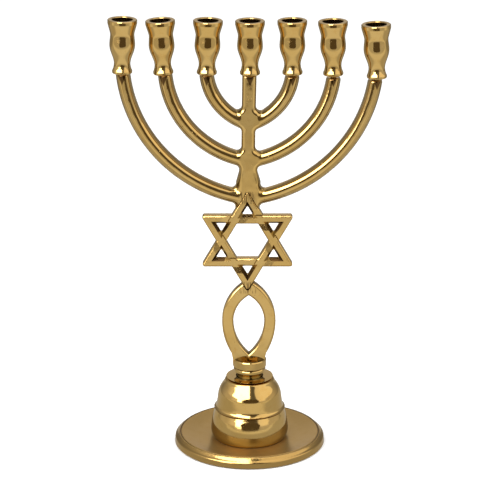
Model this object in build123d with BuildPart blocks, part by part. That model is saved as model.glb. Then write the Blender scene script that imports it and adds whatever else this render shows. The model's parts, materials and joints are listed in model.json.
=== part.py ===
from build123d import *
import os
from math import acos, asin, cos, degrees, radians, sin, sqrt

# A seven-branched brass menorah on a turned foot: candle cups screwed onto a cast candelabrum,
# which stands on a woven six-pointed star, a pointed loop and a hollow three-part base.
# Frame: origin at the centre of the resting face, +Z up, the branches spread along X and the
# front faces -Y. All lengths are in millimetres, angles in degrees.

# Base
pad_radius = 49.5
pad_thickness = 1.0
flange_radius = 51.5
rim_edge_radius = 49.8
rim_edge_height = 5.6
rim_face_top = (51.1, 4.2)
ring_radius = 47.2
ring_height = 7.5
ring_groove = 0.5
flange_wall = 2.1
dish_middle_radius = 36.0
dish_middle_height = 5.3
hub_radius = 17.5
hub_height = 12.0
bulb_foot = (24.5, 4.2)
bulb_side = [(26.4, 9.0), (26.25, 12.4), (25.8, 16.0), (25.05, 19.6), (23.95, 23.2)]
bulb_inside = [(15.3, 22.4), (19.6, 20.6), (22.4, 17.0), (23.6, 12.4)]
bulb_seat_radius = 22.7
bulb_seat_height = 24.9
spigot_radius = 17.3
spigot_top_height = 28.0
lip_radius = 24.3
lip_height = 25.2
bell_skirt = [(23.4, 26.3), (22.7, 27.5), (22.35, 29.4), (22.1, 31.4), (21.8, 33.7), (21.5, 35.9)]
bell_shoulder = [(20.9, 38.2), (19.65, 40.9), (17.0, 45.3), (15.1, 47.1), (13.3, 48.0), (11.6, 48.5)]
bell_inside = [(11.0, 45.3), (14.6, 43.6), (17.6, 39.6), (19.2, 34.0), (19.6, 30.2)]
bell_bore_top_height = 28.6
neck_seat_radius = 9.4
neck_seat_height = 47.6
neck_waist_radius = 8.9
neck_radius = 10.9
neck_top_height = 54.8
fit_gap = 0.05

# Tie rod, washer and nut inside the base
rod_radius = 3.0
rod_clearance = 0.2
rod_pitch = 1.0
rod_bottom_height = 2.4
rod_top_height = 62.0
washer_radius = 9.0
washer_thickness = 1.6
nut_across_flats = 10.0
nut_thickness = 5.0

# Loop and collar
loop_shift = -0.5
loop_depth = 7.6
loop_edge = 1.7
loop_widest_height = 88.6
loop_half_width = 18.2
loop_upper_arc = 32.8
loop_lower_arc = 45.6
loop_shoulder_height = 65.0
opening_half_width = 10.4
opening_upper_arc = 21.5
opening_lower_arc = 32.6
collar_radius = 11.4
collar_bottom_height = 55.0
collar_lip_height = 61.0
collar_dish_radius = 9.7
collar_dish_depth = 2.2
collar_tap_depth = 7.5

# Star
star_shift = -1.4
star_height = 145.8
star_radius = 30.4
star_bar = 5.9
star_depth = 7.0
star_edge = 1.4
weave_depth = 0.9
weave_ramp = 4.5
weave_reach = 5.2
star_point_corner = 1.6
star_notch_corner = 0.8
star_window_corner = 0.6
star_mouth = 1.8
star_mouth_depth = 2.6
star_mouth_taper = 34.0

# Candelabrum: each pair of arms is struck from centres that lie across the stem
arm_width = 9.6
arm_depth = 8.6
arm_edge = 3.2
arm_corner = 3.0
arm_tip_edge = 1.5
arm_spare = 3.0
tip_cut_height = 20.0
arm_radii = (38.7, 65.4, 96.0)
arm_centre_offsets = (10.3, 9.7, 12.4)
arm_centre_heights = (264.4, 266.3, 270.6)

# Stem: height, shift to the right and half width, from the middle cup down to the star
stem_stations = [
    (266.0, 0.0, 4.8),
    (225.0, -0.7, 4.6),
    (204.0, -0.9, 4.6),
    (199.0, -0.9, 6.0),
    (194.0, -0.9, 6.2),
    (187.0, -0.8, 8.2),
    (166.0, -1.5, 8.2),
]

# Cups and their studs: foot position, foot height, lean to the right and gap under the foot
cup_places = [
    (-83.7, 261.65, 1.1, 0.05),
    (-56.6, 261.10, -2.9, 0.05),
    (-28.1, 261.05, 1.6, 0.05),
    (0.3, 260.75, 0.0, 0.05),
    (28.2, 261.00, -0.5, 1.05),
    (55.0, 260.40, -0.9, 1.65),
    (83.7, 258.40, -1.7, 1.05),
]
cup_height = 36.0
cup_rim_radius = 9.77
cup_foot_radius = 6.65
cup_neck_radius = 5.45
cup_belly_radius = 8.4
cup_waist_radius = 7.95
cup_foot_band = 1.7
cup_neck_height = 6.6
cup_belly_height = 18.0
cup_waist_height = 25.2
cup_rim_band = 2.4
candle_radius = 6.75
candle_depth = 20.0
stud_radius = 2.0
stud_pitch = 0.7
stud_in_cup = 9.0
stud_in_arm = 6.3
stud_clearance = 0.05
tap_relief = 1.5
arm_tap_relief = 0.4


def thread_outline(radius, length, pitch):
    """Half outline of a threaded rod whose thread is drawn as closed rings of one pitch."""
    root = radius - 0.5 * pitch
    points = [(0, 0), (root, 0), (root, pitch / 4)]
    ring = pitch / 4
    while ring + 1.25 * pitch < length:
        points.append((radius, ring + 0.375 * pitch))
        points.append((radius, ring + 0.625 * pitch))
        points.append((root, ring + pitch))
        ring = ring + pitch
    points.append((root, length))
    points.append((0, length))
    return points


def half_section(seat):
    """The drawing plane of a turned piece: x is its radius and y runs up the seat's axis."""
    return Plane(origin=seat.origin, x_dir=seat.x_dir, z_dir=-seat.y_dir)


def direction(angle):
    """Unit vector in the plane of the branches, at an angle above +X."""
    return Vector(cos(radians(angle)), 0, sin(radians(angle)))


def cup_seat(x, height, lean):
    """Plane of the underside of a cup: its z runs up the cup's own, slightly leaning, axis."""
    return Plane(origin=(x, 0, height), x_dir=direction(-lean), z_dir=direction(90 - lean))


def turn_to_centre(half_width, arc_radius):
    """Angle that a bowed edge turns through between its widest point and the centre line."""
    return degrees(acos(1 - half_width / arc_radius))


# Felt disc glued under the flange
with BuildPart() as felt_pad:
    with BuildSketch(Plane.XY):
        Circle(pad_radius)
    extrude(amount=pad_thickness)
felt_pad.part.label = "felt_pad"

# Dished round flange with a rounded, stepped rim and a hub that centres the bulb
with BuildPart() as base_flange:
    with BuildSketch(Plane.XZ):
        with BuildLine():
            Polyline(
                (rod_radius + rod_clearance, hub_height - flange_wall),
                (rod_radius + rod_clearance, hub_height),
                (hub_radius - 1, hub_height),
                (hub_radius, hub_height - 1),
                (hub_radius, bulb_foot[1]),
                bulb_foot,
            )
            dish = Spline(
                bulb_foot,
                (dish_middle_radius, dish_middle_height),
                (ring_radius - ring_groove, ring_height),
                tangents=[(1, 0.1), (1, 0.2)],
            )
            Polyline(
                dish @ 1,
                (ring_radius, ring_height - 0.6 * ring_groove),
                (ring_radius + ring_groove, ring_height),
            )
            step = Spline(
                (ring_radius + ring_groove, ring_height),
                (rim_edge_radius, rim_edge_height),
                rim_face_top,
                tangents=[(1, -0.3), (0.1, -1)],
            )
            Polyline(
                step @ 1,
                (flange_radius - 0.1, pad_thickness + 0.8),
                (flange_radius, pad_thickness),
                (flange_radius - flange_wall, pad_thickness),
                (ring_radius - 0.5, ring_height - flange_wall - 0.6),
            )
            under = Spline(
                (ring_radius - 0.5, ring_height - flange_wall - 0.6),
                (dish_middle_radius, dish_middle_height - flange_wall),
                (bulb_foot[0], bulb_foot[1] - flange_wall),
                tangents=[(-1, -0.2), (-1, -0.1)],
            )
            Polyline(
                under @ 1,
                (hub_radius - flange_wall, bulb_foot[1] - flange_wall),
                (hub_radius - flange_wall, hub_height - flange_wall),
                (rod_radius + rod_clearance, hub_height - flange_wall),
            )
        make_face()
    revolve(axis=Axis.Z)
base_flange.part.label = "base_flange"

# Hollow bulb, centred by the hub below and carrying a spigot for the bell above
with BuildPart() as base_bulb:
    with BuildSketch(Plane.XZ):
        with BuildLine():
            side = Spline([bulb_foot] + bulb_side, tangents=[(0.6, 1), (-0.36, 1)])
            Polyline(
                side @ 1,
                (bulb_seat_radius + 0.8, bulb_seat_height - 0.4),
                (bulb_seat_radius, bulb_seat_height),
                (spigot_radius, bulb_seat_height),
                (spigot_radius, spigot_top_height),
                (bulb_inside[0][0], spigot_top_height),
                bulb_inside[0],
            )
            hollow = Spline(bulb_inside, tangents=[(1, -0.6), (0.1, -1)])
            Polyline(
                hollow @ 1,
                (hub_radius + fit_gap, hub_height - 1.5),
                (hub_radius + fit_gap, bulb_foot[1]),
                bulb_foot,
            )
        make_face()
    revolve(axis=Axis.Z)
base_bulb.part.label = "base_bulb"

# Hollow bell whose flared lip closes over the bulb; its top is recessed to seat the neck spool
bell_bore = spigot_radius + fit_gap
with BuildPart() as base_bell:
    with BuildSketch(Plane.XZ):
        with BuildLine():
            skirt = Spline(
                [(lip_radius, lip_height + 0.5)] + bell_skirt + bell_shoulder,
                tangents=[(-1, 0.6), (-1, 0.06)],
            )
            Polyline(
                skirt @ 1,
                (neck_seat_radius, bell_shoulder[-1][1] - 0.1),
                (neck_seat_radius, neck_seat_height),
                (rod_radius + rod_clearance, neck_seat_height),
                (rod_radius + rod_clearance, bell_inside[0][1]),
                bell_inside[0],
            )
            hollow = Spline(bell_inside, tangents=[(1, -0.2), (0.1, -1)])
            Polyline(
                hollow @ 1,
                (bell_bore, bell_bore_top_height),
                (bell_bore, bulb_seat_height),
                (bulb_seat_radius - 0.1, bulb_seat_height),
                (bulb_seat_radius + 0.3, lip_height - 0.1),
                (lip_radius - 0.4, lip_height),
                (lip_radius, lip_height + 0.5),
            )
        make_face()
    revolve(axis=Axis.Z)
base_bell.part.label = "base_bell"

# Turned neck spool between the bell and the collar
with BuildPart() as neck_spool:
    with BuildSketch(Plane.XZ):
        with BuildLine():
            Polyline(
                (rod_radius + rod_clearance, neck_seat_height),
                (neck_waist_radius, neck_seat_height),
                (neck_waist_radius, neck_seat_height + 1.2),
            )
            flare = Spline(
                (neck_waist_radius, neck_seat_height + 1.2),
                (neck_radius - 0.6, neck_top_height - 3.0),
                tangents=[(0, 1), (1, 1.3)],
            )
            Polyline(
                flare @ 1,
                (neck_radius, neck_top_height - 2.4),
                (neck_radius, neck_top_height - 0.9),
                (neck_radius - 0.8, neck_top_height),
                (rod_radius + rod_clearance, neck_top_height),
                (rod_radius + rod_clearance, neck_seat_height),
            )
        make_face()
    revolve(axis=Axis.Z)
neck_spool.part.label = "neck_spool"

# Threaded tie rod, washer and hex nut that pull the base up against the collar
with BuildPart() as tie_rod:
    with BuildSketch(half_section(Plane.XY.offset(rod_bottom_height))):
        with BuildLine():
            Polyline(
                thread_outline(rod_radius - fit_gap, rod_top_height - rod_bottom_height, rod_pitch),
                close=True,
            )
        make_face()
    revolve(axis=Axis.Z)
tie_rod.part.label = "tie_rod"

washer_top = hub_height - flange_wall
with BuildPart() as tie_washer:
    with BuildSketch(Plane.XY.offset(washer_top - washer_thickness)):
        Circle(washer_radius)
        Circle(rod_radius + rod_clearance, mode=Mode.SUBTRACT)
    extrude(amount=washer_thickness)
tie_washer.part.label = "tie_washer"

nut_top = washer_top - washer_thickness
with BuildPart() as tie_nut:
    with BuildSketch(Plane.XY.offset(nut_top - nut_thickness)):
        RegularPolygon(radius=nut_across_flats / 2, side_count=6, major_radius=False)
        Circle(rod_radius, mode=Mode.SUBTRACT)
    extrude(amount=nut_thickness)
    chamfer(tie_nut.edges().filter_by(GeomType.CIRCLE), length=0.3)
tie_nut.part.label = "tie_nut"


# Star outline: two filled triangles, with small radii at the points and in the notches
bar_half = star_bar / 2
crossing_radius = star_radius / sqrt(3)
star_plane = Plane(origin=(star_shift, 0, star_height), x_dir=(1, 0, 0), z_dir=(0, -1, 0))
with BuildSketch(star_plane) as star_silhouette:
    RegularPolygon(radius=star_radius + star_bar, side_count=3, rotation=90)
    RegularPolygon(radius=star_radius + star_bar, side_count=3, rotation=-90)
    corners = star_silhouette.vertices().group_by(lambda corner: round(corner.X**2 + corner.Y**2))
    fillet(corners[-1], radius=star_point_corner)
    fillet(corners[0], radius=star_notch_corner)

window_radius = (star_radius - 3 * star_bar) / 3
with BuildSketch(star_plane) as star_windows:
    RegularPolygon(radius=(star_radius - star_bar) / sqrt(3), side_count=6)
    with PolarLocations(star_radius - star_bar - window_radius, 6, start_angle=30):
        RegularPolygon(radius=window_radius, side_count=3)
    fillet(star_windows.vertices(), radius=star_window_corner)

# Cast star: its small windows narrow inwards with the draft of the mould, and its bars pass over
# and under each other, so the under bar dips beside each crossing
with BuildPart() as star:
    with BuildSketch(star_plane):
        add(star_silhouette.sketch_local)
        add(star_windows.sketch_local, mode=Mode.SUBTRACT)
    extrude(amount=star_depth / 2, both=True)
    flats = star.faces().sort_by(Axis.Y)
    fillet(flats[0].edges() + flats[-1].edges(), radius=star_edge)
    for outward in (1, -1):
        with BuildSketch(star_plane.offset(outward * star_depth / 2)):
            with PolarLocations(star_radius - star_bar - window_radius, 6, start_angle=30):
                RegularPolygon(radius=window_radius + 2 * star_mouth, side_count=3)
        extrude(amount=-outward * star_mouth_depth, taper=star_mouth_taper, mode=Mode.SUBTRACT)
    for crossing in range(6):
        for outward, over_turn in ((-1, 120), (1, 60)):
            over = 60 * crossing + over_turn
            under = direction(60 * crossing + 180 - over_turn)
            for side in (-90, 90):
                across = direction(over + side)
                middle = bar_half + weave_ramp / 2
                along = under * (middle / under.dot(across))
                start = star_plane.origin + direction(60 * crossing) * crossing_radius + along
                start = start - across * middle + Vector(0, outward * star_depth / 2, 0)
                ramp_plane = Plane(start, x_dir=across, z_dir=across.cross(Vector(0, outward, 0)))
                with BuildSketch(ramp_plane):
                    Polygon(
                        (bar_half, -weave_depth),
                        (bar_half + weave_ramp, 0),
                        (bar_half + weave_ramp, 1),
                        (bar_half, 1),
                        align=None,
                    )
                extrude(amount=weave_reach, both=True, mode=Mode.SUBTRACT)
star.part.label = "star"

# Cast loop: two bowed limbs that meet in a point at the top and stand in a dished collar
loop_plane = Plane(origin=(loop_shift, 0, 0), x_dir=(1, 0, 0), z_dir=(0, -1, 0))
dish_height = collar_lip_height - collar_dish_depth
shoulder_angle = degrees(asin((loop_widest_height - loop_shoulder_height) / loop_lower_arc))
with BuildPart() as fish_loop:
    with BuildSketch(loop_plane):
        with BuildLine():
            upper_centre = (loop_half_width - loop_upper_arc, loop_widest_height)
            lower_centre = (loop_half_width - loop_lower_arc, loop_widest_height)
            CenterArc(upper_centre, loop_upper_arc, 0, turn_to_centre(loop_half_width, loop_upper_arc))
            shoulder = CenterArc(lower_centre, loop_lower_arc, -shoulder_angle, shoulder_angle)
            Polyline(
                shoulder @ 0,
                (collar_radius + loop_shift - 0.1, collar_lip_height),
                (collar_radius + loop_shift - 0.1, dish_height - 1),
                (0, dish_height - 1),
            )
            mirror(about=Plane.YZ)
        make_face()
        with BuildLine():
            upper_centre = (opening_half_width - opening_upper_arc, loop_widest_height)
            lower_centre = (opening_half_width - opening_lower_arc, loop_widest_height)
            upper_turn = turn_to_centre(opening_half_width, opening_upper_arc)
            lower_turn = turn_to_centre(opening_half_width, opening_lower_arc)
            CenterArc(upper_centre, opening_upper_arc, 0, upper_turn)
            CenterArc(lower_centre, opening_lower_arc, -lower_turn, lower_turn)
            mirror(about=Plane.YZ)
        make_face(mode=Mode.SUBTRACT)
    extrude(amount=loop_depth / 2, both=True)
    flats = fish_loop.faces().sort_by(Axis.Y)
    rims = flats[0].edges() + flats[-1].edges()
    fillet(rims.filter_by(lambda edge: edge.center().Z > loop_shoulder_height), radius=loop_edge)
    with BuildSketch(star_plane):
        add(star_silhouette.sketch_local)
    extrude(amount=loop_depth, both=True, mode=Mode.SUBTRACT)
    with BuildSketch(Plane.XZ):
        with BuildLine():
            Polyline(
                (0, collar_bottom_height),
                (collar_radius - 0.8, collar_bottom_height),
                (collar_radius, collar_bottom_height + 0.8),
                (collar_radius, collar_lip_height - 0.6),
                (collar_radius - 0.6, collar_lip_height),
                (collar_dish_radius, collar_lip_height),
                (collar_dish_radius - 1.2, dish_height),
                (0, dish_height),
                close=True,
            )
        make_face()
    revolve(axis=Axis.Z)
    with BuildSketch(Plane.XY.offset(collar_bottom_height)):
        Circle(rod_radius)
    extrude(amount=collar_tap_depth, mode=Mode.SUBTRACT)
fish_loop.part.label = "fish_loop"

# Cast candelabrum: flat stem and six arms with rounded edges, drilled for the seven studs
seats = [cup_seat(x, height, lean) for x, height, lean, gap in cup_places]
gaps = [place[3] for place in cup_places]
stem_foot_height = stem_stations[-1][0]
stem_top_height = stem_stations[0][0]
with BuildPart() as candelabrum:
    with BuildSketch(Plane.XZ) as branches:
        for radius, offset, height in zip(arm_radii, arm_centre_offsets, arm_centre_heights):
            to_stem = degrees(acos(offset / radius))
            past_tip = degrees(arm_spare / radius)
            with BuildLine():
                CenterArc((-offset, height), radius, -to_stem, to_stem + past_tip)
            trace(line_width=arm_width)
        mirror(about=Plane.YZ)
        with BuildLine():
            right_side = [(shift + half, height) for height, shift, half in stem_stations]
            left_side = [(shift - half, height) for height, shift, half in reversed(stem_stations)]
            Polyline(right_side + left_side, close=True)
        make_face()
        joints = branches.vertices().filter_by(
            lambda corner: abs(corner.X) < 15 and stem_foot_height + 1 < corner.Y < stem_top_height - 5
        )
        fillet(joints, radius=arm_corner)
    extrude(amount=arm_depth / 2, both=True)
    flats = candelabrum.faces().sort_by(Axis.Y)
    fillet(flats[0].edges() + flats[-1].edges(), radius=arm_edge)
    for seat, gap in zip(seats, gaps):
        tip = seat.offset(-gap)
        with BuildSketch(tip):
            Rectangle(2 * arm_width, 2 * arm_width)
        extrude(amount=tip_cut_height, mode=Mode.SUBTRACT)
        tip_face = candelabrum.faces().sort_by_distance(tip.origin)[0]
        fillet(tip_face.edges(), radius=arm_tip_edge)
        with BuildSketch(tip):
            Circle(stud_radius + stud_clearance)
        extrude(amount=-(stud_in_arm + arm_tap_relief), mode=Mode.SUBTRACT)
    with BuildSketch(star_plane):
        add(star_silhouette.sketch_local)
    extrude(amount=arm_depth, both=True, mode=Mode.SUBTRACT)
candelabrum.part.label = "candelabrum"

pieces = [
    felt_pad,
    base_flange,
    base_bulb,
    base_bell,
    neck_spool,
    tie_rod,
    tie_washer,
    tie_nut,
    star,
    fish_loop,
    candelabrum,
]

# Turned candle cups, and the threaded studs that hold them on their arms
for number, seat in enumerate(seats, start=1):
    axis = Axis(seat.origin, seat.z_dir)
    with BuildPart() as cup:
        with BuildSketch(half_section(seat)):
            with BuildLine():
                Polyline(
                    (0, stud_in_cup + tap_relief),
                    (stud_radius + stud_clearance, stud_in_cup + tap_relief),
                    (stud_radius + stud_clearance, 0),
                    (cup_foot_radius - 0.4, 0),
                    (cup_foot_radius, 0.5),
                    (cup_foot_radius, cup_foot_band),
                )
                side = Spline(
                    (cup_foot_radius, cup_foot_band),
                    (cup_neck_radius, cup_neck_height),
                    (cup_belly_radius, cup_belly_height),
                    (cup_waist_radius, cup_waist_height),
                    (cup_rim_radius, cup_height - cup_rim_band),
                    tangents=[(-0.5, 1), (0.25, 1)],
                )
                Polyline(
                    side @ 1,
                    (cup_rim_radius, cup_height - 0.4),
                    (cup_rim_radius - 0.4, cup_height),
                    (candle_radius + 0.4, cup_height),
                    (candle_radius, cup_height - 0.4),
                    (candle_radius, cup_height - candle_depth),
                    (0, cup_height - candle_depth),
                    (0, stud_in_cup + tap_relief),
                )
            make_face()
        revolve(axis=axis)
    cup.part.label = f"cup_{number}"
    with BuildPart() as stud:
        with BuildSketch(half_section(seat.offset(-stud_in_arm))):
            with BuildLine():
                outline = thread_outline(stud_radius, stud_in_arm + stud_in_cup, stud_pitch)
                Polyline(outline, close=True)
            make_face()
        revolve(axis=axis)
    stud.part.label = f"stud_{number}"
    pieces.append(cup)
    pieces.append(stud)

os.makedirs("parts", exist_ok=True)
for piece in pieces:
    export_step(piece.part, f"parts/{piece.part.label}.step")
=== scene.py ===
import json
import math

import bmesh
import bpy
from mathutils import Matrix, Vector


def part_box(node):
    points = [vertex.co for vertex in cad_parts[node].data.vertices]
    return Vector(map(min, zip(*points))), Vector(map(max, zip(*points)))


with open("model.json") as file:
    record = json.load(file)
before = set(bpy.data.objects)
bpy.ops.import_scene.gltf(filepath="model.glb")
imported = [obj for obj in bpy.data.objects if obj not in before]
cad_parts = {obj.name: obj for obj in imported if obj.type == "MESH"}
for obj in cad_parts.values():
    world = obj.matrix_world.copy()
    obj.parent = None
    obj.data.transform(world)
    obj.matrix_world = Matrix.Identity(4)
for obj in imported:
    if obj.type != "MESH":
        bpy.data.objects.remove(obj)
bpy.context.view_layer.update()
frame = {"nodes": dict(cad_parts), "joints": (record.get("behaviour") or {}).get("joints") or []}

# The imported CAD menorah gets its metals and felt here, and stands on a white table in soft light.
# Places are in metres in the CAD frame; the sizes in the materials are in millimetres.
MM = 1000.0
hinges = {joint["child"]: joint for joint in frame["joints"] if joint["type"] == "hinge"}

# Camera: on the centre line in front of the menorah, looking down in degrees, with a long lens.
# The shift is a share of the picture's width.
CAMERA_AT = (0.0, -1.545, 0.6654)
CAMERA_DOWN = 18.59
LENS = 181.875
SENSOR_WIDTH = 36.0
SHIFT_RIGHT = 0.0199
CLIP_END = 50.0


class Tree:
    """Short ways to add nodes to one node tree: any input can be a number, a colour or a socket."""

    def __init__(self, tree):
        self.tree = tree
        tree.nodes.clear()

    def add(self, kind, inputs=None, **settings):
        node = self.tree.nodes.new(kind)
        for name, value in settings.items():
            setattr(node, name, value)
        for name, value in (inputs or {}).items():
            if isinstance(value, bpy.types.NodeSocket):
                self.tree.links.new(value, node.inputs[name])
            else:
                node.inputs[name].default_value = value
        return node

    def math(self, operation, a, b=0.0):
        return self.add("ShaderNodeMath", {0: a, 1: b}, operation=operation).outputs[0]

    def times(self, first, *others):
        for other in others:
            first = self.math("MULTIPLY", first, other)
        return first

    def plus(self, first, *others):
        for other in others:
            first = self.math("ADD", first, other)
        return first

    def minus(self, a, b):
        return self.math("SUBTRACT", a, b)

    def absolute(self, value):
        return self.math("ABSOLUTE", value)

    def xyz(self, vector):
        return self.add("ShaderNodeSeparateXYZ", {"Vector": vector}).outputs

    def frontness(self):
        """1 where the surface faces straight to the front or back, 0 where it faces sideways or up."""
        return self.absolute(self.xyz(self.add("ShaderNodeNewGeometry").outputs["Normal"])[1])

    def step(self, value, low, high, out_low=0.0, out_high=1.0):
        """Smooth step of value from low to high, scaled to run from out_low to out_high."""
        node = self.add(
            "ShaderNodeMapRange",
            {"Value": value, "From Min": low, "From Max": high, "To Min": out_low, "To Max": out_high},
            interpolation_type="SMOOTHSTEP",
        )
        return node.outputs["Result"]

    def band(self, value, low, high, soft):
        """1 between low and high, falling softly to 0 outside."""
        up = self.step(value, self.minus(low, soft), self.plus(low, soft))
        down = self.step(value, self.minus(high, soft), self.plus(high, soft), 1.0, 0.0)
        return self.times(up, down)

    def mix(self, share, a, b):
        node = self.add("ShaderNodeMix", data_type="RGBA")
        for socket, value in zip((node.inputs[0], node.inputs[6], node.inputs[7]), (share, a, b)):
            if isinstance(value, bpy.types.NodeSocket):
                self.tree.links.new(value, socket)
            else:
                socket.default_value = value
        return node.outputs[2]

    def noise(self, vector, scale, detail=2.0, roughness=0.5, distortion=0.0):
        inputs = {"Vector": vector, "Scale": scale, "Detail": detail}
        inputs |= {"Roughness": roughness, "Distortion": distortion}
        return self.add("ShaderNodeTexNoise", inputs).outputs["Fac"]

    def mapped(self, vector, scale=(1, 1, 1), rotation=(0, 0, 0)):
        turn = tuple(math.radians(a) for a in rotation)
        return self.add("ShaderNodeMapping", {"Vector": vector, "Scale": scale, "Rotation": turn}).outputs[0]

    def metres(self):
        return self.add("ShaderNodeTexCoord").outputs["Object"]

    def millimetres(self):
        return self.mapped(self.metres(), (MM, MM, MM))

    def bump(self, relief):
        """Normal of a surface that stands relief millimetres above its mesh."""
        inputs = {"Height": relief, "Distance": 1 / MM, "Strength": 1.0}
        return self.add("ShaderNodeBump", inputs).outputs[0]

    def surface(self, **inputs):
        """Ends the tree in one principled shader; an underscore in a name stands for a space."""
        inputs = {name.replace("_", " "): value for name, value in inputs.items()}
        shader = self.add("ShaderNodeBsdfPrincipled", inputs)
        self.add("ShaderNodeOutputMaterial", {"Surface": shader.outputs[0]})


def new_material(name):
    """A new material and its empty node tree."""
    material = bpy.data.materials.new(name)
    material.use_nodes = True
    return material, Tree(material.node_tree)


def rgb(red, green, blue):
    return (red, green, blue, 1.0)


BRASS = rgb(0.80, 0.515, 0.170)
BRASS_PALE = rgb(0.83, 0.555, 0.205)
BRASS_RED = rgb(0.765, 0.460, 0.135)
BRASS_SATIN = rgb(0.62, 0.385, 0.125)
# Brown of tarnish, which several marks also use for painted shade and a painted dark reflection
TARNISH_AND_SHADE = rgb(0.115, 0.052, 0.016)
# Near-black painted shade inside the cups' bores
BORE_SHADE = rgb(0.030, 0.018, 0.010)

# Light that reaches the eye over two brass faces, past this ray depth, is dimmer and cooler, so that
# doubled reflections don't turn orange
BOUNCED_DEPTH = 2.5
BOUNCED_TINT = rgb(0.34, 0.43, 0.66)

# Arcs that the candelabrum's arms follow, as (offset past the centre line, centre height, radius)
ARM_ARCS = ((10.3, 264.4, 38.7), (9.7, 266.3, 65.4), (12.4, 270.6, 96.0))
ARM_HALF_WIDTH = 4.8

# Height of the buffing waves on cast pieces, which are polished by hand
CAST_WAVES = 0.26


class Finish:
    """Colour, roughness, metallic share and relief in millimetres of one metal, while marks are added."""

    def __init__(self, t, mm, colour, roughness, relief, blotch):
        self.t = t
        self.mm = mm
        self.colour = colour
        self.roughness = roughness
        self.metallic = 1.0
        self.relief = relief
        self.blotch = blotch

    def mark(self, share, tarnish_and_shade=0.0, rough=0.0, relief=0.0):
        """Darkens towards the tarnish brown, which also serves as painted shade, roughens and lifts the
        surface where share is 1.
        """
        if tarnish_and_shade:
            self.colour = self.t.mix(self.t.times(share, tarnish_and_shade), self.colour, TARNISH_AND_SHADE)
        if rough:
            self.roughness = self.t.plus(self.roughness, self.t.times(share, rough))
        if relief:
            self.relief = self.t.plus(self.relief, self.t.times(share, relief))


def brass_material(name, *marks, dull=0.0, grime_and_shade_reach=1.1, waves=0.10):
    """Hand-polished brass: wavy from the buff, hairline scratches, smudges, brown polish and painted shade
    in corners.

    Each of marks adds to the finish. dull is added to the roughness; the corner reach, how far polish and
    painted shade stay around a corner, and waves, the height of the buffing waves, are in millimetres."""
    material, t = new_material(name)
    mm = t.millimetres()
    tone = t.noise(mm, 0.035, 3.0, 0.55)
    blotch = t.noise(mm, 0.22, 4.0, 0.6, 0.6)
    fine = t.noise(mm, 1.6, 3.0, 0.6)
    colour = t.mix(t.step(tone, 0.36, 0.66), BRASS, BRASS_PALE)
    colour = t.mix(t.times(t.step(blotch, 0.50, 0.72), 0.55), colour, BRASS_RED)
    roughness = t.plus(0.055 + dull, t.times(t.step(blotch, 0.42, 0.75), 0.075))
    relief = t.times(t.noise(mm, 0.075, 2.0, 0.45), waves)

    finish = Finish(t, mm, colour, roughness, relief, blotch)
    finish.mark(fine, relief=0.004)
    finish.mark(hairline_scratches(t, mm, fine), rough=0.05, relief=-0.0035)
    # Brown polish and painted shade in corners, darkened from ambient occlusion
    finish.mark(corner_grime_and_shade(t, blotch, grime_and_shade_reach), tarnish_and_shade=0.8, rough=0.25)
    for add_to in marks:
        add_to(finish)

    normal = t.bump(finish.relief)
    t.surface(Base_Color=finish.colour, Metallic=finish.metallic, Roughness=finish.roughness, Normal=normal)
    return material


def hairline_scratches(t, mm, fine):
    """Scratches in three directions, each a noise stretched along its own line and broken up by fine."""
    scratches = 0.0
    for turn, stretch in (((0, 0, 24), 46.0), ((38, 12, 71), 30.0), ((-25, 64, -33), 60.0)):
        line = t.noise(t.mapped(mm, (stretch / 12, 0.09, stretch / 12), turn), 1.0, 2.0, 0.7)
        scratches = t.plus(scratches, t.step(line, 0.64, 0.74))
    return t.times(scratches, t.step(fine, 0.35, 0.65))


def corner_grime_and_shade(t, blotch, grime_and_shade_reach):
    """Brown polish dried in corners, and painted shade there from ambient occlusion, up to the given reach
    in millimetres from them.
    """
    reach = {"Distance": grime_and_shade_reach / MM}
    corner = t.add("ShaderNodeAmbientOcclusion", reach, samples=8, only_local=False).outputs["AO"]
    return t.step(t.plus(corner, t.times(blotch, 0.30)), 0.78, 0.38)


def axis_distance(t, mm):
    x, y, _ = t.xyz(mm)
    return t.math("SQRT", t.plus(t.math("POWER", x, 2.0), t.math("POWER", y, 2.0)))


def turned(finish):
    """Fine rings from the lathe, around the menorah's own axis."""
    t = finish.t
    along = t.plus(t.times(axis_distance(t, finish.mm), 0.8), t.xyz(finish.mm)[2])
    inputs = {"W": along, "Scale": 2.6, "Detail": 3.0, "Roughness": 0.7}
    rings = t.add("ShaderNodeTexNoise", inputs, noise_dimensions="1D").outputs["Fac"]
    finish.mark(rings, relief=0.006)


def satin_disc(finish):
    """Satin top of the flange: the rim outside it is polished, and a turned groove line lies between,
    darkened with painted shade.
    """
    rim_radius = 48.0
    t = finish.t
    radius = axis_distance(t, finish.mm)
    rim = t.step(radius, rim_radius, rim_radius + 1.0)
    finish.metallic = t.plus(0.90, t.times(rim, 0.10))
    finish.colour = t.mix(0.8, finish.colour, BRASS_SATIN)
    finish.mark(1.0, rough=0.24)
    finish.mark(rim, rough=-0.18)
    # Painted shade in the turned groove line between satin top and rim
    finish.mark(t.band(radius, rim_radius - 0.8, rim_radius - 0.1, 0.15), tarnish_and_shade=0.9, relief=-0.10)


def cast(finish):
    """Pinholes of the casting, in scattered patches."""
    t = finish.t
    cells = t.add("ShaderNodeTexVoronoi", {"Vector": finish.mm, "Scale": 0.42, "Randomness": 1.0})
    patches = t.step(t.noise(finish.mm, 0.16, 1.0), 0.60, 0.66)
    pits = t.times(t.step(cells.outputs["Distance"], 0.17, 0.08), patches)
    finish.mark(pits, tarnish_and_shade=0.6, relief=-0.10)


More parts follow.
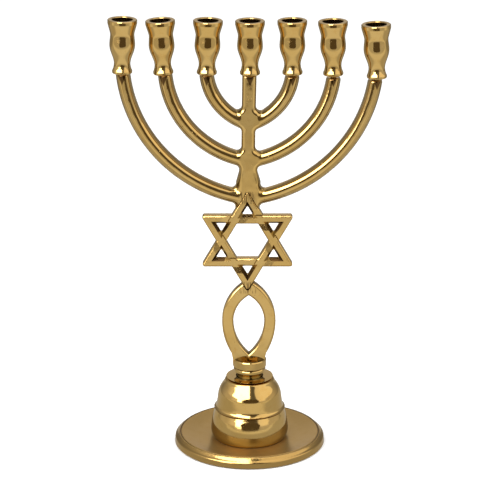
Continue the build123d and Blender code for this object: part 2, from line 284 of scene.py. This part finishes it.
def arm_crowns(finish):
    """Soft crown of each arm's front and back, and a painted dark reflection line along its outer side."""
    t = finish.t
    x, _, z = t.xyz(finish.mm)
    side = t.absolute(x)
    nearest = ARM_HALF_WIDTH
    outward = 0.0
    for offset, height, radius in ARM_ARCS:
        from_centre = t.add("ShaderNodeCombineXYZ", {"X": t.plus(side, offset), "Y": t.minus(z, height)})
        length = t.add("ShaderNodeVectorMath", {0: from_centre.outputs[0]}, operation="LENGTH")
        across = t.minus(length.outputs["Value"], radius)
        nearest = t.math("MINIMUM", nearest, t.absolute(across))
        here = t.math("LESS_THAN", t.absolute(across), ARM_HALF_WIDTH)
        outward = t.plus(outward, t.times(across, here))
    past_stem = t.step(side, 4.8, 9.0)
    finish.mark(t.times(t.math("POWER", nearest, 2.0), past_stem), relief=-0.075)
    # Painted reflection: a dark band along each arm's outer side, standing for the dark gap the arm mirrors
    finish.mark(t.times(t.band(outward, 1.45, 1.80, 0.30), past_stem), tarnish_and_shade=0.55)


def arm_tip_shade(finish):
    """Painted shade under each cup: a dark wedge on the front and back of its arm, where the arm mirrors the
    cup's dark foot.
    """
    half_width = 3.4
    taper = 0.42
    t = finish.t
    x, _, z = t.xyz(finish.mm)
    shade_wedges = 0.0
    for hinge in hinges.values():
        across, _, height = (place * MM for place in hinge["pos_m"])
        edge = t.plus(t.absolute(t.minus(x, across)), t.times(t.minus(height, z), taper))
        shade_wedges = t.math("MAXIMUM", shade_wedges, t.step(edge, half_width, half_width - 0.6))
    # Painted shade: dark wedges under the cups, on faces turned to the front or back
    finish.mark(t.times(shade_wedges, t.step(t.frontness(), 0.4, 0.8)), tarnish_and_shade=0.9)


def joint_file_marks(finish):
    """Crossed file strokes where the star is joined to the stem above and the loop below."""
    stroke_reach = 4.0
    t = finish.t
    x, _, z = t.xyz(finish.mm)
    low, high = (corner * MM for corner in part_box("star"))
    away = t.absolute(t.minus(x, (low.x + high.x) / 2))
    near = 0.0
    for height in (high.z - 3.5, low.z + 2.0):
        near = t.plus(near, t.band(z, height - stroke_reach, height + stroke_reach, 1.2))
    near = t.times(near, t.step(away, 6.5, 4.5))
    strokes = 0.0
    for lean in (38, -52):
        line = t.noise(t.mapped(finish.mm, (1.3, 0.3, 0.10), (0, lean, 0)), 1.0, 1.0)
        strokes = t.math("MAXIMUM", strokes, t.step(line, 0.54, 0.62))
    finish.mark(t.times(strokes, near), tarnish_and_shade=0.7, relief=-0.12)


def window_wall_shade(finish):
    """Painted shade on the walls of the star's six small windows, which are darkened and roughened."""
    window_radius = 4.6
    t = finish.t
    low, high = (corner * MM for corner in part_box("star"))
    middle = (low + high) / 2
    window_distance = (high.z - low.z) / 3
    flat = t.mapped(finish.mm, (1, 0, 1))
    near = 0.0
    for number in range(6):
        turn = math.radians(60 * number + 30)
        across, up = (window_distance * f for f in (math.cos(turn), math.sin(turn)))
        inputs = {0: flat, 1: (middle.x + across, 0.0, middle.z + up)}
        away = t.add("ShaderNodeVectorMath", inputs, operation="DISTANCE").outputs["Value"]
        near = t.math("MAXIMUM", near, t.step(away, window_radius + 1.0, window_radius))
    # Painted shade on the window walls, which face sideways
    finish.mark(t.times(near, t.step(t.frontness(), 0.80, 0.70)), tarnish_and_shade=0.93, rough=0.25)


def cup_bore_shade(hinge):
    """Painted shade inside the opening of the cup on this hinge, uneven and darkest at its floor."""
    wall_radius = 7.1 / MM
    floor_height = 16.0 / MM

    def add_bore_shade(finish):
        t = finish.t
        inputs = {0: t.metres(), 1: tuple(hinge["pos_m"])}
        offset = t.add("ShaderNodeVectorMath", inputs, operation="SUBTRACT").outputs[0]
        inputs = {0: offset, 1: tuple(hinge["axis"])}
        up = t.add("ShaderNodeVectorMath", inputs, operation="DOT_PRODUCT").outputs["Value"]
        sideways = t.add("ShaderNodeVectorMath", inputs, operation="CROSS_PRODUCT").outputs[0]
        across = t.add("ShaderNodeVectorMath", {0: sideways}, operation="LENGTH").outputs["Value"]
        inside = t.times(
            t.step(across, wall_radius + 0.15 / MM, wall_radius - 0.15 / MM),
            t.step(up, floor_height - 0.5 / MM, floor_height + 0.5 / MM),
        )
        low = t.step(up, floor_height + 18.5 / MM, floor_height + 9.0 / MM)
        share = t.times(inside, t.plus(0.25, t.times(low, 0.7)))
        share = t.times(share, t.step(finish.blotch, 0.2, 0.6, 0.75, 1.0))
        # Painted shade inside the bore, darker towards its floor
        finish.colour = t.mix(share, finish.colour, BORE_SHADE)
        finish.mark(share, rough=0.35)

    return add_bore_shade


def felt_material():
    """Dark brown felt: tangled fibres in soft tufts."""
    material, t = new_material("felt")
    mm = t.millimetres()
    fibres = t.noise(mm, 3.2, 5.0, 0.7, 1.8)
    tufts = t.noise(mm, 0.5, 3.0, 0.6)
    colour = t.mix(fibres, rgb(0.016, 0.010, 0.009), rgb(0.060, 0.045, 0.040))
    colour = t.mix(t.times(tufts, 0.5), colour, rgb(0.03, 0.022, 0.020))
    relief = t.plus(t.times(fibres, 0.18), t.times(tufts, 0.15))
    t.surface(Base_Color=colour, Roughness=0.95, Sheen_Weight=0.4, Normal=t.bump(relief))
    return material


def steel_material():
    """Zinc-plated steel: spangled, faintly blue and yellow, dull."""
    material, t = new_material("zinc_steel")
    mm = t.millimetres()
    spangle = t.add("ShaderNodeTexVoronoi", {"Vector": mm, "Scale": 1.4}).outputs["Color"]
    cloud = t.noise(mm, 0.4, 4.0, 0.6)
    colour = t.mix(cloud, rgb(0.50, 0.50, 0.49), rgb(0.60, 0.58, 0.50))
    colour = t.mix(0.12, colour, spangle)
    roughness = t.plus(0.28, t.times(cloud, 0.2))
    relief = t.times(t.noise(mm, 5.0, 3.0), 0.02)
    t.surface(Base_Color=colour, Metallic=1.0, Roughness=roughness, Normal=t.bump(relief))
    return material


def dress(node, material):
    materials = frame["nodes"][node].data.materials
    materials.clear()
    materials.append(material)


polished = brass_material("brass_turned", turned)
for node in ("base_bulb", "base_bell", "neck_spool"):
    dress(node, polished)
dress("base_flange", brass_material("brass_flange", turned, satin_disc))
star_marks = (cast, window_wall_shade, joint_file_marks)
dress("star", brass_material("brass_star", *star_marks, dull=0.13, grime_and_shade_reach=4.5, waves=CAST_WAVES))
loop_marks = (cast, joint_file_marks)
dress("fish_loop", brass_material("brass_loop", *loop_marks, grime_and_shade_reach=3.5, waves=CAST_WAVES))
arm_marks = (cast, arm_crowns, arm_tip_shade, joint_file_marks)
dress("candelabrum", brass_material("brass_arms", *arm_marks, waves=CAST_WAVES))
steel = steel_material()
for node in ("tie_rod", "tie_washer", "tie_nut"):
    dress(node, steel)
dress("felt_pad", felt_material())
thread = brass_material("thread_brass", turned, dull=0.18)
for number in range(1, 8):
    dress(f"stud_{number}", thread)
    cup = f"cup_{number}"
    dress(cup, brass_material(f"brass_{cup}", turned, cup_bore_shade(hinges[cup])))

# Table: white to the camera; in the brass it is a glowing pale sheet, a painted reflection of the lit table,
# brightest 0.2 to 0.4 m in front, that is dimmer close to the foot as a painted shadow of the menorah, far
# ahead and behind
TABLE_SIZE = 12.0
bpy.ops.mesh.primitive_plane_add(size=TABLE_SIZE)
table = bpy.context.object
table.name = "table"
material, t = new_material("table_white")
ray = t.add("ShaderNodeLightPath").outputs
ahead = t.times(t.xyz(t.metres())[1], -1.0)
# Painted light of the mirrored sheet, with a painted shadow close to the foot
sheet = t.times(
    t.step(ahead, 0.40, 0.78, 0.70, 0.47),
    t.step(ahead, 0.10, 0.22, 0.62, 1.0),
    t.step(ahead, -0.45, -0.25, 0.6, 1.0),
)
deeper = t.math("GREATER_THAN", ray["Ray Depth"], BOUNCED_DEPTH)
tint = t.mix(deeper, rgb(1.0, 1.0, 0.94), BOUNCED_TINT)
mirrored = t.add("ShaderNodeEmission", {"Color": tint, "Strength": sheet}).outputs[0]
plain = t.add("ShaderNodeBsdfDiffuse", {"Color": rgb(0.93, 0.93, 0.93)}).outputs[0]
both = t.add("ShaderNodeMixShader", {0: ray["Is Glossy Ray"], 1: plain, 2: mirrored})
t.add("ShaderNodeOutputMaterial", {"Surface": both.outputs[0]})
table.data.materials.append(material)

# A dark screen across the front of the table, with rounded corners, that only the brass mirrors
SCREEN_AHEAD = 0.985
SCREEN_MIDDLE = Vector((0.06, 0.155))
SCREEN_HALF = Vector((0.58, 0.185))
SCREEN_CORNERS = 48
SCREEN_ROUNDNESS = 0.8
form = bmesh.new()
corners = []
for number in range(SCREEN_CORNERS):
    turn = math.radians(number * 360 / SCREEN_CORNERS)
    across, up = (math.copysign(abs(f) ** SCREEN_ROUNDNESS, f) for f in (math.cos(turn), math.sin(turn)))
    x, z = SCREEN_MIDDLE + Vector((SCREEN_HALF.x * across, SCREEN_HALF.y * up))
    corners.append(form.verts.new((x, -SCREEN_AHEAD, z)))
form.faces.new(corners)
shape = bpy.data.meshes.new("screen")
form.to_mesh(shape)
form.free()
screen = bpy.data.objects.new("screen", shape)
bpy.context.scene.collection.objects.link(screen)
for ray_kind in ("camera", "diffuse", "transmission", "volume_scatter", "shadow"):
    setattr(screen, f"visible_{ray_kind}", False)
material, t = new_material("screen_dark")
dim = t.add("ShaderNodeEmission", {"Color": rgb(1.0, 0.80, 0.52), "Strength": 0.09})
t.add("ShaderNodeOutputMaterial", {"Surface": dim.outputs[0]})
shape.materials.append(material)

# Surroundings: white to the camera; what the brass mirrors is a studio with two soft boxes in front,
# a dark gap between them, pale side walls and a dim back. Angles are in degrees, with azimuth 0 in
# front and growing to the right. Each box is narrower low down.
LEFT_BOX_LIGHT = 5.0
LEFT_BOX_BOUNCED = 1.2
RIGHT_BOX_LIGHT = 0.48
GAP_DARKNESS = 0.70
world = bpy.data.worlds.new("studio")
bpy.context.scene.world = world
world.use_nodes = True
t = Tree(world.node_tree)
ray = t.add("ShaderNodeLightPath").outputs
x, y, z = t.xyz(t.add("ShaderNodeTexCoord").outputs["Generated"])
azimuth = t.math("DEGREES", t.math("ARCTAN2", x, t.times(y, -1.0)))
elevation = t.math("DEGREES", t.math("ARCSINE", z))
turn = t.absolute(azimuth)
left_start = t.step(elevation, 12.0, 22.0, -44.0, -70.0)
left_end = t.step(elevation, 15.0, 22.0, -19.0, 0.0)
right_start = t.step(elevation, 15.0, 22.0, 28.0, 24.0)
right_end = t.step(elevation, 8.0, 22.0, 60.0, 115.0)
left_box = t.band(azimuth, left_start, left_end, 2.0)
left_glow = t.times(t.band(azimuth, t.minus(left_start, 22.0), left_end, 14.0), 0.06)
left_box = t.times(t.math("MAXIMUM", left_box, left_glow), t.step(elevation, 0.0, 3.0))
right_box = t.times(t.band(azimuth, right_start, right_end, 4.0), t.step(elevation, 0.0, 6.0))
walls = t.times(t.band(turn, 40.0, 104.0, 12.0), 0.10)
behind = t.step(turn, 160.0, 172.0, 0.0, 0.25)
ceiling = t.step(elevation, 55.0, 80.0, 0.0, 0.20)
room = t.plus(t.step(turn, 100.0, 150.0, 0.42, 0.20), walls, behind, ceiling)
gap = t.times(t.band(azimuth, left_end, right_start, 1.5), t.step(elevation, 85.0, 60.0))
room = t.times(room, t.minus(1.0, t.times(gap, GAP_DARKNESS)))
deeper = t.math("GREATER_THAN", ray["Ray Depth"], BOUNCED_DEPTH)
left_light = t.step(deeper, 0.0, 1.0, LEFT_BOX_LIGHT, LEFT_BOX_BOUNCED)
light = t.plus(room, t.times(left_box, left_light), t.times(right_box, RIGHT_BOX_LIGHT))
tint = t.mix(right_box, rgb(1.0, 0.985, 0.965), rgb(1.0, 0.965, 0.90))
tint = t.mix(deeper, tint, BOUNCED_TINT)
studio = t.add("ShaderNodeBackground", {"Color": tint, "Strength": light}).outputs[0]
white = t.add("ShaderNodeBackground", {"Color": rgb(1, 1, 1), "Strength": 1.0}).outputs[0]
fill = t.add("ShaderNodeBackground", {"Color": rgb(1, 1, 1), "Strength": 0.95}).outputs[0]
seen = t.add("ShaderNodeMixShader", {0: ray["Is Glossy Ray"], 1: fill, 2: studio}).outputs[0]
seen = t.add("ShaderNodeMixShader", {0: ray["Is Camera Ray"], 1: seen, 2: white}).outputs[0]
t.add("ShaderNodeOutputWorld", {"Surface": seen})

# Two area lights soften the shadow on the table; the brass mirrors the surroundings, not these
LAMPS = (("key", (-0.9, -1.1, 1.3), 26.0), ("fill", (1.1, -0.9, 1.2), 18.0))
LAMP_SIZE = 0.9
LAMP_TARGET = Vector((0, 0, 0.1))
for name, at, power in LAMPS:
    lamp = bpy.data.lights.new(name, "AREA")
    lamp.shape = "SQUARE"
    lamp.size = LAMP_SIZE
    lamp.energy = power
    holder = bpy.data.objects.new(name, lamp)
    bpy.context.scene.collection.objects.link(holder)
    holder.location = at
    holder.rotation_euler = (LAMP_TARGET - Vector(at)).to_track_quat("-Z", "Y").to_euler()
    holder.visible_glossy = False

camera = bpy.data.objects.new("camera", bpy.data.cameras.new("camera"))
bpy.context.scene.collection.objects.link(camera)
camera.location = CAMERA_AT
camera.rotation_euler = (math.radians(90 - CAMERA_DOWN), 0, 0)
camera.data.lens = LENS
camera.data.sensor_width = SENSOR_WIDTH
camera.data.shift_x = -SHIFT_RIGHT
camera.data.clip_end = CLIP_END
bpy.context.scene.camera = camera
bpy.context.scene.view_settings.view_transform = "Standard"
